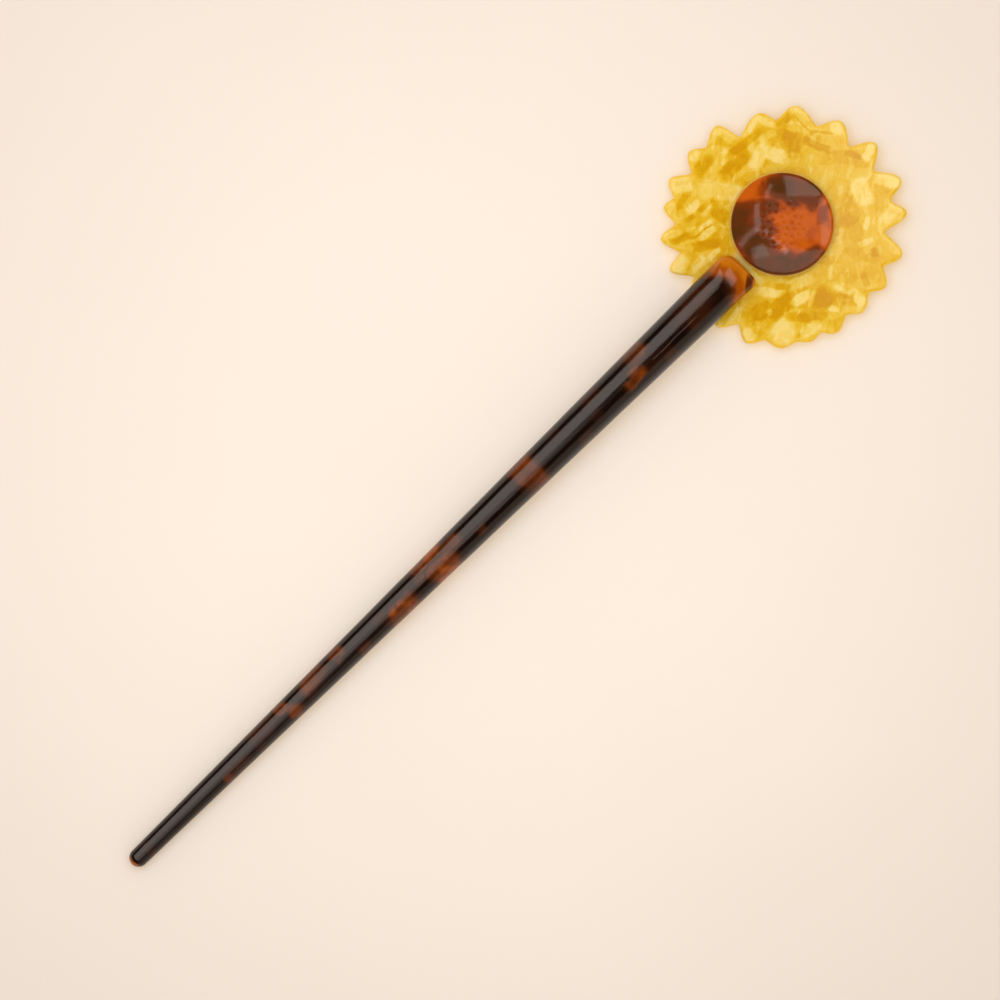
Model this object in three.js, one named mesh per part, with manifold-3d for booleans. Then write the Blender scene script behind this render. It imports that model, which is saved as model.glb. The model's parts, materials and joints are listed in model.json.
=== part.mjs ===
// A decorative hair pin: a tapered acetate stick with a petalled flower plate bonded under its head
// and a domed disc on the middle of the flower. Millimetres, +Z up.
//
// The pin is laid out in a layout frame, where the plate's flat back is z = 0 and the stick runs
// along +X from its tip at x = 0. Then it is tipped as it rests on a table, on the tip of the stick
// and the near edge of the plate, and its origin goes to the middle of its footprint.

import * as THREE from "three";
import { mergeVertices } from "three/addons/utils/BufferGeometryUtils.js";
import Module from "manifold-3d";

const wasm = await Module();
wasm.setup();

// ---- Driving dimensions ---------------------------------------------------------------------

// Stick: a straight taper from the tip to the head.
const STICK_LENGTH = 156.8;
const TIP_RADIUS = 1.8;
const HEAD_RADIUS = 4.2;
const HEAD_CORNER = 1.9; // round between the stick's side and its end face
const HEAD_ROLL_LENGTH = 6.0; // how far back from the end the top starts to roll down
const HEAD_ROLL_HEIGHT = 3.2; // how far the top has come down at the end
const SEAT_DEPTH = 1.2; // flat ground into the underside of the head
const SEAT_START = 142.6; // where the flat begins, just clear of the plate's near petals
const SEAT_RUN_OUT = 4.0; // slope from the flat back to the full round section

// Flower plate: each petal is the angle and radius of its tip, then of the notch after it.
const PLATE_CENTRE = new THREE.Vector2(167.0, -0.26);
const PLATE_THICKNESS = 3.0;
const PLATE_EDGE_ROUND = 0.6;
const PETALS = [
  [17.3, 22.3, 27.3, 19.8],
  [39.7, 22.6, 49.4, 20.0],
  [57.3, 21.6, 71.1, 18.7],
  [79.1, 22.5, 89.5, 20.6],
  [96.6, 22.3, 105.0, 19.8],
  [112.9, 22.8, 120.2, 21.0],
  [125.6, 22.3, 133.3, 20.0],
  [140.5, 22.6, 149.0, 19.6],
  [155.9, 22.2, 164.1, 18.8],
  [173.6, 22.0, 182.6, 19.2],
  [191.6, 21.8, 200.4, 19.5],
  [207.9, 22.2, 216.4, 20.9],
  [224.2, 22.1, 232.5, 21.1],
  [239.0, 21.5, 245.5, 20.5],
  [252.4, 21.6, 261.8, 19.8],
  [269.4, 21.3, 278.6, 19.8],
  [285.7, 21.7, 294.6, 19.8],
  [302.7, 22.4, 313.4, 18.7],
  [322.7, 22.9, 330.0, 20.4],
  [338.0, 23.4, 348.1, 19.8],
  [358.1, 23.0, 366.6, 19.4],
];
const PETAL_BLUNTNESS = 0.74; // below 1 the tips are rounder than the notches

// Centre disc.
const DISC_CENTRE = new THREE.Vector2(167.35, 0.4);
const DISC_RADIUS = 9.4;
const DISC_EDGE_HEIGHT = 1.75; // straight side, before the edge bevel
const DISC_BEVEL = 0.25;
const DISC_CROWN = 0.65; // how far the domed top stands above its edge

// Seed pits pressed into the disc, set out as the seeds of a sunflower are.
const SEED_COUNT = 34;
const SEED_SPACING = 0.74; // the nth pit is this times the square root of n from the middle
const SEED_TURN = Math.PI * (3 - Math.sqrt(5));
const SEED_BALL_RADIUS = 0.7;
const SEED_DEPTH = 0.1;

// Cement films, clear of both faces by a hair.
const CEMENT_THICKNESS = 0.12;
const CEMENT_CLEARANCE = 0.02;
const CEMENT_SQUEEZE = 0.3; // how far the film shows past the piece it holds
const CEMENT_START = 148.5; // the stick's film begins just inside the plate's near notch

// Fineness of the round surfaces.
const STICK_SIDES = 48;
const DISC_SIDES = 60;
const ROUND_STEPS = 6;
const FLANK_STEPS = 5;
const SEED_SIDES = 6;

// ---- Solids ---------------------------------------------------------------------------------

function solidOf(geometry) {
  const bare = geometry.index ? geometry.toNonIndexed() : geometry.clone();
  bare.deleteAttribute("normal");
  bare.deleteAttribute("uv");
  const merged = mergeVertices(bare, 1e-4);
  return new wasm.Manifold(
    new wasm.Mesh({
      numProp: 3,
      vertProperties: merged.attributes.position.array,
      triVerts: new Uint32Array(merged.index.array),
    }),
  );
}

function geometryOf(solid) {
  const { vertProperties, triVerts } = solid.getMesh();
  const geometry = new THREE.BufferGeometry();
  geometry.setAttribute("position", new THREE.BufferAttribute(vertProperties, 3));
  geometry.setIndex(new THREE.BufferAttribute(triVerts, 1));
  geometry.computeVertexNormals();
  return geometry;
}

// An outline in the XZ plane, swept evenly to both sides of y = 0.
function sideSweep(shape, width) {
  const geometry = new THREE.ExtrudeGeometry(shape, {
    depth: width,
    bevelEnabled: false,
    curveSegments: 2 * ROUND_STEPS,
  });
  geometry.rotateX(Math.PI / 2);
  geometry.translate(0, width / 2, 0);
  return geometry;
}

function acetate(color, extra = {}) {
  return new THREE.MeshStandardMaterial({ color, roughness: 0.12, metalness: 0, ...extra });
}

function cement() {
  return acetate(0xf4ead2, { transparent: true, opacity: 0.45 });
}

// ---- Stick ----------------------------------------------------------------------------------

const seatHeight = PLATE_THICKNESS + CEMENT_THICKNESS + 2 * CEMENT_CLEARANCE;
const axisHeight = seatHeight + HEAD_RADIUS - SEAT_DEPTH;

// The round taper, turned about the X axis, before the head is shaped.
function turnedStick() {
  const profile = new THREE.Path();
  profile.moveTo(0, 0);
  profile.absarc(0, TIP_RADIUS, TIP_RADIUS, -Math.PI / 2, 0, false);
  profile.lineTo(HEAD_RADIUS, STICK_LENGTH - HEAD_CORNER);
  profile.absarc(
    HEAD_RADIUS - HEAD_CORNER,
    STICK_LENGTH - HEAD_CORNER,
    HEAD_CORNER,
    0,
    Math.PI / 2,
    false,
  );
  profile.lineTo(0, STICK_LENGTH);
  const geometry = new THREE.LatheGeometry(profile.getPoints(ROUND_STEPS), STICK_SIDES);
  geometry.rotateZ(-Math.PI / 2);
  return geometry;
}

// The head seen from the side: its top rolls down to the end, and its underside has a flat seat.
function headProfile() {
  const top = HEAD_RADIUS + 1;
  const seat = SEAT_DEPTH - HEAD_RADIUS;
  const runOutStart = SEAT_START - SEAT_RUN_OUT;
  const shape = new THREE.Shape();
  shape.moveTo(-1, -top);
  shape.lineTo(runOutStart, -top);
  shape.lineTo(runOutStart, -HEAD_RADIUS);
  shape.lineTo(SEAT_START, seat);
  shape.lineTo(STICK_LENGTH, seat);
  shape.lineTo(STICK_LENGTH, HEAD_RADIUS - HEAD_ROLL_HEIGHT);
  shape.absellipse(
    STICK_LENGTH - HEAD_ROLL_LENGTH,
    HEAD_RADIUS - HEAD_ROLL_HEIGHT,
    HEAD_ROLL_LENGTH,
    HEAD_ROLL_HEIGHT,
    0,
    Math.PI / 2,
    false,
  );
  shape.lineTo(STICK_LENGTH - HEAD_ROLL_LENGTH, top);
  shape.lineTo(-1, top);
  return shape;
}

function makeStick() {
  const head = sideSweep(headProfile(), 4 * HEAD_RADIUS);
  const geometry = geometryOf(solidOf(turnedStick()).intersect(solidOf(head)));
  const mesh = new THREE.Mesh(geometry, acetate(0x2a1208));
  mesh.name = "stick";
  mesh.position.z = axisHeight;
  return mesh;
}

// ---- Flower plate ---------------------------------------------------------------------------

// Points from one extreme of the outline up to the next, as polar angle and radius.
function flank(fromAngle, fromRadius, toAngle, toRadius) {
  const falling = toRadius < fromRadius;
  const low = Math.min(fromRadius, toRadius);
  const high = Math.max(fromRadius, toRadius);
  const points = [];
  for (let step = 0; step < FLANK_STEPS; step++) {
    const u = step / FLANK_STEPS;
    const fromTip = falling ? u : 1 - u;
    const rise = ((1 + Math.cos(Math.PI * fromTip)) / 2) ** PETAL_BLUNTNESS;
    const angle = THREE.MathUtils.degToRad(fromAngle + u * (toAngle - fromAngle));
    const radius = low + (high - low) * rise;
    points.push(new THREE.Vector2(radius * Math.cos(angle), radius * Math.sin(angle)));
  }
  return points;
}

function petalOutline() {
  return PETALS.flatMap(([tipAngle, tipRadius, notchAngle, notchRadius], i) => {
    const [nextAngle, nextRadius] = PETALS[(i + 1) % PETALS.length];
    const nextTurn = nextAngle < tipAngle ? nextAngle + 360 : nextAngle;
    return [
      ...flank(tipAngle, tipRadius, notchAngle, notchRadius),
      ...flank(notchAngle, notchRadius, nextTurn, nextRadius),
    ];
  });
}

function makeFlowerPlate() {
  const geometry = new THREE.ExtrudeGeometry(new THREE.Shape(petalOutline()), {
    depth: PLATE_THICKNESS - 2 * PLATE_EDGE_ROUND,
    bevelEnabled: true,
    bevelThickness: PLATE_EDGE_ROUND,
    bevelSize: PLATE_EDGE_ROUND,
    bevelOffset: -PLATE_EDGE_ROUND,
    bevelSegments: 3,
  });
  const mesh = new THREE.Mesh(geometry, acetate(0xe8b426));
  mesh.name = "flower_plate";
  mesh.position.set(PLATE_CENTRE.x, PLATE_CENTRE.y, PLATE_EDGE_ROUND);
  return mesh;
}

// ---- Centre disc ----------------------------------------------------------------------------

const crownEdge = DISC_RADIUS - DISC_BEVEL;
const crownBase = DISC_EDGE_HEIGHT + DISC_BEVEL;
const crownBallRadius = (crownEdge ** 2 + DISC_CROWN ** 2) / (2 * DISC_CROWN);

// Height of the domed top at a distance from the disc's middle.
function crownHeight(distance) {
  return crownBase + DISC_CROWN - crownBallRadius + Math.sqrt(crownBallRadius ** 2 - distance ** 2);
}

function domedDisc() {
  const profile = [
    new THREE.Vector2(0, 0),
    new THREE.Vector2(DISC_RADIUS - DISC_BEVEL, 0),
    new THREE.Vector2(DISC_RADIUS, DISC_BEVEL),
    new THREE.Vector2(DISC_RADIUS, DISC_EDGE_HEIGHT),
  ];
  for (let step = ROUND_STEPS; step > 0; step--) {
    const distance = (crownEdge * step) / ROUND_STEPS;
    profile.push(new THREE.Vector2(distance, crownHeight(distance)));
  }
  profile.push(new THREE.Vector2(0, crownHeight(0)));
  const geometry = new THREE.LatheGeometry(profile, DISC_SIDES);
  geometry.rotateX(Math.PI / 2);
  return geometry;
}

function seedBall(index) {
  const distance = SEED_SPACING * Math.sqrt(index + 0.5);
  const angle = index * SEED_TURN;
  const ball = new THREE.SphereGeometry(SEED_BALL_RADIUS, SEED_SIDES, SEED_SIDES);
  ball.rotateX(Math.PI / 2);
  ball.translate(
    distance * Math.cos(angle),
    distance * Math.sin(angle),
    crownHeight(distance) + SEED_BALL_RADIUS - SEED_DEPTH,
  );
  return ball;
}

function makeCentreDisc() {
  let solid = solidOf(domedDisc());
  for (let index = 0; index < SEED_COUNT; index++) {
    solid = solid.subtract(solidOf(seedBall(index)));
  }
  const mesh = new THREE.Mesh(geometryOf(solid), acetate(0x7a3410));
  mesh.name = "centre_disc";
  mesh.position.set(DISC_CENTRE.x, DISC_CENTRE.y, seatHeight);
  return mesh;
}

// ---- Cement films ---------------------------------------------------------------------------

function makeStickCement() {
  const seatHalfWidth = Math.sqrt(HEAD_RADIUS ** 2 - (HEAD_RADIUS - SEAT_DEPTH) ** 2);
  const halfWidth = seatHalfWidth + CEMENT_SQUEEZE;
  const roundStart = STICK_LENGTH + CEMENT_SQUEEZE - HEAD_CORNER;
  const roundSide = halfWidth - HEAD_CORNER;
  const shape = new THREE.Shape();
  shape.moveTo(CEMENT_START, -halfWidth);
  shape.lineTo(roundStart, -halfWidth);
  shape.absarc(roundStart, -roundSide, HEAD_CORNER, -Math.PI / 2, 0, false);
  shape.absarc(roundStart, roundSide, HEAD_CORNER, 0, Math.PI / 2, false);
  shape.lineTo(CEMENT_START, halfWidth);
  const geometry = new THREE.ExtrudeGeometry(shape, {
    depth: CEMENT_THICKNESS,
    bevelEnabled: false,
    curveSegments: ROUND_STEPS,
  });
  const mesh = new THREE.Mesh(geometry, cement());
  mesh.name = "stick_cement";
  mesh.position.z = PLATE_THICKNESS + CEMENT_CLEARANCE;
  return mesh;
}

function makeDiscCement() {
  const radius = DISC_RADIUS + CEMENT_SQUEEZE;
  const geometry = new THREE.CylinderGeometry(radius, radius, CEMENT_THICKNESS, DISC_SIDES);
  geometry.rotateX(Math.PI / 2);
  const mesh = new THREE.Mesh(geometry, cement());
  mesh.name = "disc_cement";
  mesh.position.set(
    DISC_CENTRE.x,
    DISC_CENTRE.y,
    PLATE_THICKNESS + CEMENT_CLEARANCE + CEMENT_THICKNESS / 2,
  );
  return mesh;
}

// ---- Assembly, tipped as it rests -----------------------------------------------------------

// The angle at which a table touches both the round tip and the plate's near lower edge.
function restAngle() {
  const nearRadius = Math.max(
    ...PETALS.filter(([angle]) => angle > 165 && angle < 200).map(([, radius]) => radius),
  );
  const edgeX = PLATE_CENTRE.x - nearRadius + PLATE_EDGE_ROUND;
  const run = edgeX - TIP_RADIUS;
  const rise = axisHeight - PLATE_EDGE_ROUND;
  const roundness = TIP_RADIUS - PLATE_EDGE_ROUND;
  return Math.acos(roundness / Math.hypot(run, rise)) - Math.atan2(run, rise);
}

const pin = new THREE.Group();
pin.add(makeStick(), makeFlowerPlate(), makeCentreDisc(), makeStickCement(), makeDiscCement());
pin.rotation.y = -restAngle();

const hairPin = new THREE.Group();
hairPin.add(pin);
hairPin.updateMatrixWorld(true);
const box = new THREE.Box3().setFromObject(pin, true);
pin.position.set(-(box.min.x + box.max.x) / 2, -(box.min.y + box.max.y) / 2, -box.min.z);

export default hairPin;
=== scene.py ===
"""Looks of the decorative hair pin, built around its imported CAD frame.

Every piece is shaped in millimetres in the layout frame: its origin is the middle of the flower
plate's flat back, +X runs along the stick towards the flower, +Z is up out of the flower's face.
The plate's own mount in the record says where that frame lies in the row frame. The camera, the
lights and the floor are in metres in the row frame.
"""

import json
import math

import bpy
import numpy as np
from mathutils import Matrix, Vector


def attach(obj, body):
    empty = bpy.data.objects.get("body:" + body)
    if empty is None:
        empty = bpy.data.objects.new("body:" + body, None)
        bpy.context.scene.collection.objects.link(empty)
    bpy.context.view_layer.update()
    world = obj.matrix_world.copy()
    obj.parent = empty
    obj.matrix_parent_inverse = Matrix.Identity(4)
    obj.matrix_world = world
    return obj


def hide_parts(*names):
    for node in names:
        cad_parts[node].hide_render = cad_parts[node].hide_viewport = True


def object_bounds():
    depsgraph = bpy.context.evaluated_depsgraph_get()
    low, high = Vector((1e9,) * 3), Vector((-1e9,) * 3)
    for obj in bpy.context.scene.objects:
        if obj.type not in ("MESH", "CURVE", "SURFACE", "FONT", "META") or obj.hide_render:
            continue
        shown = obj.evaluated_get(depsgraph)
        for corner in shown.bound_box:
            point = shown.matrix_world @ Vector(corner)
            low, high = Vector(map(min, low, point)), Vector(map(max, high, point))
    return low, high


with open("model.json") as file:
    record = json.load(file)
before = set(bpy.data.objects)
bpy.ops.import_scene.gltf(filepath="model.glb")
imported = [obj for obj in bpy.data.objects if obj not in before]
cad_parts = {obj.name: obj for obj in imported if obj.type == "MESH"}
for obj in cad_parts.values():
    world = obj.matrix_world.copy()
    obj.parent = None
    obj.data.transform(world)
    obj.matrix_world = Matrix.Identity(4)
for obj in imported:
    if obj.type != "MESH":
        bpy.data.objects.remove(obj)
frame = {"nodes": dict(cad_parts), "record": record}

cad_box = [list(corner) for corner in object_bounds()]

MM = 0.001

# ---- The layout frame -----------------------------------------------------------------------

plate_back = next(m for m in frame["record"]["mounts"] if m["name"] == "plate_back")


def layout_to_row():
    up = -Vector(plate_back["axis"]).normalized()
    across = Vector((0.0, 1.0, 0.0))
    along = across.cross(up).normalized()
    matrix = Matrix((along, across, up)).transposed().to_4x4()
    matrix.translation = Vector(plate_back["pos_m"])
    return matrix @ Matrix.Scale(MM, 4)


TO_ROW = layout_to_row()


def cad_points(node):
    """A CAD node's vertices in the layout frame, as an (n, 3) array."""
    mesh = frame["nodes"][node].data
    flat = np.empty(3 * len(mesh.vertices))
    mesh.vertices.foreach_get("co", flat)
    points = np.c_[flat.reshape(-1, 3), np.ones(len(mesh.vertices))]
    return (points @ np.array(TO_ROW.inverted()).T)[:, :3]


# ---- Mesh building --------------------------------------------------------------------------

SHARP_ANGLE = math.radians(38)
EDGE_STEPS = 7  # stations round a quarter turn of a rounded edge


def loft(name, first, rings, last, material, node, shares=None):
    """A closed piece through rings of points, with one point at each end.

    The rings run counter-clockwise as seen from the first point's side. shares maps the name of a
    float attribute to one value for each ring.
    """
    count = len(rings[0])
    points = np.vstack([first, *rings, last])
    faces = [(0, 1 + i, 1 + (i + 1) % count) for i in range(count)]
    for ring in range(len(rings) - 1):
        start = 1 + ring * count
        for i in range(count):
            j = (i + 1) % count
            faces.append((start + i, start + count + i, start + count + j, start + j))
    start = 1 + (len(rings) - 1) * count
    end = len(points) - 1
    faces += [(end, start + (i + 1) % count, start + i) for i in range(count)]

    mesh = bpy.data.meshes.new(name)
    mesh.from_pydata(points.tolist(), [], faces)
    mesh.transform(TO_ROW)
    mesh.shade_smooth()
    mesh.set_sharp_from_angle(angle=SHARP_ANGLE)
    for attribute, values in (shares or {}).items():
        data = mesh.attributes.new(attribute, "FLOAT", "POINT").data
        spread = np.r_[values[0], np.repeat(values, count), values[-1]]
        data.foreach_set("value", spread.astype(np.float32))
    mesh.materials.append(material)
    piece = bpy.data.objects.new(name, mesh)
    bpy.context.scene.collection.objects.link(piece)
    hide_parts(node)
    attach(piece, "root")
    return piece


def inset(outline, distance):
    """A counter-clockwise outline, an (n, 2) array, moved inwards along its normals."""
    tangent = np.roll(outline, -1, axis=0) - np.roll(outline, 1, axis=0)
    inward = np.c_[-tangent[:, 1], tangent[:, 0]]
    inward /= np.linalg.norm(inward, axis=1)[:, None]
    return outline + distance * inward


def at_height(outline, height):
    return np.c_[outline, np.full(len(outline), height)]


def waves(x, y, seed, wavelength, count=6):
    """A smooth uneven field between 0 and 1, from a few sine waves in random directions."""
    draw = np.random.default_rng(seed)
    total = np.zeros(np.broadcast(x, y).shape)
    for _ in range(count):
        heading = draw.uniform(0, 2 * math.pi)
        length = wavelength * draw.uniform(0.7, 1.5)
        phase = draw.uniform(0, 2 * math.pi)
        run = x * math.cos(heading) + y * math.sin(heading)
        total += np.sin(2 * math.pi * run / length + phase)
    return 0.5 + total / (2 * count)


# ---- Material building ----------------------------------------------------------------------

ENDLESS_MM = 1e4  # a half size that nothing here reaches


class Tree:
    """A material with one Principled shader, and short ways to add nodes before it."""

    def __init__(self, name, **shader_values):
        self.material = bpy.data.materials.new(name)
        self.material.use_nodes = True
        self.nodes = self.material.node_tree.nodes
        self.links = self.material.node_tree.links
        self.shader = self.nodes["Principled BSDF"]
        for socket, value in shader_values.items():
            self.shader.inputs[socket.replace("_", " ")].default_value = value

    def put(self, socket, value):
        """Links an output to an input, or sets the input's own value."""
        if isinstance(value, bpy.types.NodeSocket):
            self.links.new(value, socket)
        else:
            socket.default_value = value

    def add(self, kind, inputs=(), **settings):
        node = self.nodes.new(kind)
        for key, value in settings.items():
            setattr(node, key, value)
        for key, value in dict(inputs).items():
            self.put(node.inputs[key], value)
        return node

    def math(self, operation, a, b=0.0, clamp=False):
        node = self.add("ShaderNodeMath", {0: a, 1: b}, operation=operation, use_clamp=clamp)
        return node.outputs[0]

    def vector(self, operation, a, b):
        return self.add("ShaderNodeVectorMath", {0: a, 1: b}, operation=operation).outputs[0]

    def length(self, a):
        return self.add("ShaderNodeVectorMath", {0: a}, operation="LENGTH").outputs["Value"]

    def parts(self, a):
        return self.add("ShaderNodeSeparateXYZ", {0: a}).outputs

    def turned(self, where, angle):
        return self.add("ShaderNodeVectorRotate", {"Vector": where, "Angle": angle}).outputs[0]

    def layout_mm(self):
        """Where the surface lies in the layout frame, in millimetres."""
        coordinates = self.add("ShaderNodeTexCoord").outputs["Object"]
        turn = TO_ROW.to_3x3().normalized().to_euler()
        mapping = {"Vector": coordinates, "Rotation": turn, "Scale": (MM, MM, MM)}
        mapping["Location"] = TO_ROW.translation
        return self.add("ShaderNodeMapping", mapping, vector_type="TEXTURE").outputs[0]

    def within(self, where, middle, half_sizes, turn=0.0):
        """A place as seen from a turned rectangle's middle, in units of its half sizes."""
        inputs = {
            "Vector": where,
            "Location": (*middle, 0),
            "Rotation": (0, 0, turn),
            "Scale": (*half_sizes, ENDLESS_MM),
        }
        return self.add("ShaderNodeMapping", inputs, vector_type="TEXTURE").outputs[0]

    def noise(self, where, scale, detail=2.0, roughness=0.5, output="Fac"):
        inputs = {"Vector": where, "Scale": scale, "Detail": detail, "Roughness": roughness}
        return self.add("ShaderNodeTexNoise", inputs).outputs[output]

    def warped(self, where, scale, amount):
        """The place moved about by up to half of amount millimetres."""
        drift = self.noise(where, scale, output="Color")
        centred = self.vector("SUBTRACT", drift, (0.5, 0.5, 0.5))
        return self.vector("ADD", where, self.vector("MULTIPLY", centred, (amount,) * 3))

    def ease(self, value, low, high, to_low=0.0, to_high=1.0):
        """A smooth step from to_low, where the value is low, to to_high, where it is high."""
        inputs = {"Value": value, 1: low, 2: high, 3: to_low, 4: to_high}
        node = self.add("ShaderNodeMapRange", inputs, interpolation_type="SMOOTHSTEP")
        return node.outputs[0]

    def blend(self, share, a, b):
        node = self.add("ShaderNodeMix", data_type="RGBA")
        self.put(node.inputs[0], share)
        self.put(node.inputs[6], a)
        self.put(node.inputs[7], b)
        return node.outputs[2]

    def colours(self, value, stops):
        """A colour ramp through (position, sRGB 0 to 255) stops."""
        node = self.add("ShaderNodeValToRGB", {"Fac": value})
        elements = node.color_ramp.elements
        while len(elements) < len(stops):
            elements.new(1.0)
        for element, (position, colour) in zip(elements, stops, strict=True):
            element.position = position
            element.color = linear(colour)
        return node.outputs["Color"]

    def bump(self, height, strength, distance_mm):
        inputs = {"Height": height, "Strength": strength, "Distance": distance_mm * MM}
        self.put(self.shader.inputs["Normal"], self.add("ShaderNodeBump", inputs).outputs[0])


def linear(colour):
    """An sRGB colour from 0 to 255 as linear RGBA."""
    shares = [c / 255 for c in colour]
    return [*(c / 12.92 if c <= 0.04045 else ((c + 0.055) / 1.055) ** 2.4 for c in shares), 1.0]


ACETATE = {"IOR": 1.49, "Roughness": 0.12}


def add_patches(tree, where, patches, soft=0.3):
    """The greatest share, 0 to 1, of any of the patches at a place.

    A patch is a rectangle with round corners, which goes all through the sheet:
    (x, y, half length, half width, turn in degrees, strength).
    """
    share = 0.0
    for x, y, half_length, half_width, turn, strength in patches:
        inside = tree.within(where, (x, y), (half_length, half_width), math.radians(turn))
        reach = tree.length(tree.vector("MULTIPLY", inside, inside))
        patch = tree.ease(reach, (1 + soft) ** 2, (1 - soft) ** 2, 0.0, strength)
        share = tree.math("MAXIMUM", share, patch)
    return share


def polish(tree, where, stretch, low, high):
    """Fine drawn-out polishing marks in the gloss, and a trace of them in the surface."""
    marks = tree.noise(tree.vector("MULTIPLY", where, stretch), 1.0, detail=4.0, roughness=0.65)
    tree.put(tree.shader.inputs["Roughness"], tree.ease(marks, 0.35, 0.75, low, high))
    return marks


# ---- Stick ----------------------------------------------------------------------------------

stick_points = cad_points("stick")
STICK_START = stick_points[:, 0].min()
STICK_END = stick_points[:, 0].max()
STICK_LENGTH = STICK_END - STICK_START
AXIS_Y = (stick_points[:, 1].min() + stick_points[:, 1].max()) / 2
HEAD_RADIUS_MM = (stick_points[:, 1].max() - stick_points[:, 1].min()) / 2
AXIS_Z = stick_points[:, 2].max() - HEAD_RADIUS_MM
SEAT_Z = cad_points("centre_disc")[:, 2].min()

TIP_RADIUS_MM = 1.8
LEFT_CORNER_MM = 2.4  # the round between the head's left side and its end
RIGHT_CORNER_MM = 1.4
ROLL_LENGTH_MM = 6.0  # how far back from the end the head's top starts to roll down
ROLL_HEIGHT_MM = 3.2  # how far the top has come down at the end
ROLL_SKEW = 0.25  # the head's left side starts to roll down later than its right
SKEW_FADE_MM = 2.0
ROLL_FLATNESS = 0.5
FLATNESS_RISE = 3  # the flatness is full a third of the way into the roll
SEAT_START_MM = 142.6
SEAT_RUN_OUT_MM = 4.0
CREASE_MM = 0.12  # how softly the round side turns into the flat seat
POLISHED_OFF_MM = 0.05  # how far the polished surface lies within the CAD's
UNEVENNESS = 0.012  # the most that hand polishing takes off the radius, as a share of it
EVEN_TIP_MM = 10.0  # the unevenness grows over this length from the tip
STICK_SIDES = 112
TIP_STEPS = 16
TIP_FIRST_ANGLE = 0.06  # where the first ring round the tip lies on its curve
SHAFT_STEP_MM = 0.8
HEAD_STEPS = 40


def stick_radius(s):
    """The turned stick's radius at s millimetres from the tip, before the head is shaped."""
    run = STICK_LENGTH - 2 * TIP_RADIUS_MM
    taper = TIP_RADIUS_MM + (HEAD_RADIUS_MM - TIP_RADIUS_MM) * (s - TIP_RADIUS_MM) / run
    if s < TIP_RADIUS_MM:
        return math.sqrt(max(TIP_RADIUS_MM**2 - (TIP_RADIUS_MM - s) ** 2, 0.0))
    return min(taper, HEAD_RADIUS_MM)


def corner_cut(s, radius):
    """How far a rounded corner at the head's end narrows the stick at s."""
    into = max(s - (STICK_LENGTH - radius), 0.0)
    return radius - math.sqrt(max(radius**2 - into**2, 0.0))


def stick_section(s):
    """The stick's cross-section at s, as a ring of points."""
    radius = stick_radius(s)
    uneven = UNEVENNESS * float(waves(np.array(s), np.array(0.0), seed=3, wavelength=17.0))
    polished_off = min(POLISHED_OFF_MM, radius / 10)
    radius = radius * (1 - uneven * min(1.0, s / EVEN_TIP_MM)) - polished_off
    left = radius - corner_cut(s, LEFT_CORNER_MM)
    right = radius - corner_cut(s, RIGHT_CORNER_MM)
    run_out = (SEAT_START_MM - s) / SEAT_RUN_OUT_MM
    floor = SEAT_Z - AXIS_Z - max(run_out, 0.0) * (HEAD_RADIUS_MM + SEAT_Z - AXIS_Z)
    angles = np.linspace(0, 2 * math.pi, STICK_SIDES, endpoint=False)
    across = np.cos(angles)
    upward = -np.sin(angles)  # downwards first, which is counter-clockwise as seen from the tip
    y = np.where(across > 0, left, right) * across
    skewed = s - ROLL_SKEW * y * min(1.0, (STICK_LENGTH - s) / SKEW_FADE_MM)
    into_roll = np.clip((skewed - STICK_LENGTH) / ROLL_LENGTH_MM + 1, 0, 1)
    drop = ROLL_HEIGHT_MM * (1 - np.sqrt(1 - into_roll**2))
    flatness = ROLL_FLATNESS * np.clip(into_roll * FLATNESS_RISE, 0, 1) ** 2
    rise = np.abs(upward) ** (1 / (1 + flatness))
    z = np.where(upward > 0, (radius - drop) * rise, radius * upward)
    over = z - floor
    z = floor + (over + np.sqrt(over**2 + CREASE_MM**2)) / 2
    return np.c_[np.full(STICK_SIDES, STICK_START + s), AXIS_Y + y, AXIS_Z + z]


def build_stick():
    head_start = STICK_LENGTH - ROLL_LENGTH_MM
    tip = TIP_RADIUS_MM * (1 - np.cos(np.linspace(TIP_FIRST_ANGLE, math.pi / 2, TIP_STEPS)))
    shaft = np.arange(TIP_RADIUS_MM + SHAFT_STEP_MM, head_start, SHAFT_STEP_MM)
    head = STICK_LENGTH - ROLL_LENGTH_MM * (1 - np.sin(np.linspace(0, math.pi / 2, HEAD_STEPS)))
    rings = [stick_section(float(s)) for s in (*tip, *shaft, *head)]
    first = (STICK_START, AXIS_Y, AXIS_Z)
    last = (STICK_END, AXIS_Y, rings[-1][:, 2].mean())
    return loft("stick_body", first, rings, last, stick_material(), "stick")


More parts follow.
